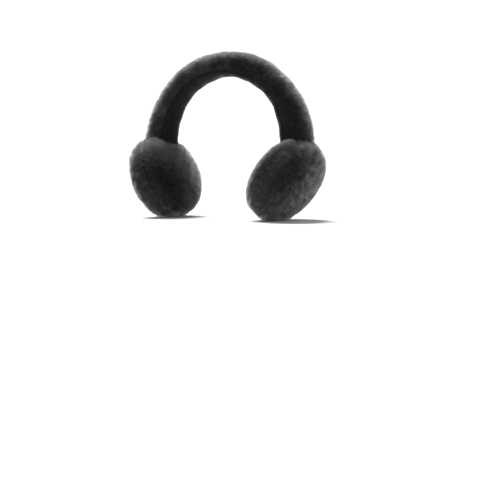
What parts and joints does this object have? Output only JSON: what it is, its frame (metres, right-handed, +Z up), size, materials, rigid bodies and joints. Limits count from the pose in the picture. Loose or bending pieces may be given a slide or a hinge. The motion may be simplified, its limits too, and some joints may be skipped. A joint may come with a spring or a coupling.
{
  "type": "fur earmuffs",
  "caption": "Over-the-head earmuffs: a padded fur band with a smooth inner lining and a round domed fur pad on each end.",
  "frame": {"origin": "on the floor under the middle of the whole, standing on its two pads", "axes": "+X towards the wearer's left, -Y towards the wearer's front, +Z up over the head"},
  "size_m": [0.249, 0.1068, 0.1992],
  "materials": {
    "outer_fur": "short dense sheared fur, charcoal black",
    "ear_side_fur": "shorter softer fur, charcoal black",
    "band_lining": "short napped cloth, charcoal black"
  },
  "bodies": {
    "root": {"band_fur": "outer_fur", "band_lining": "band_lining", "pad_fur_left": "outer_fur", "pad_back_left": "ear_side_fur", "pad_fur_right": "outer_fur", "pad_back_right": "ear_side_fur"}
  },
  "joints": []
}
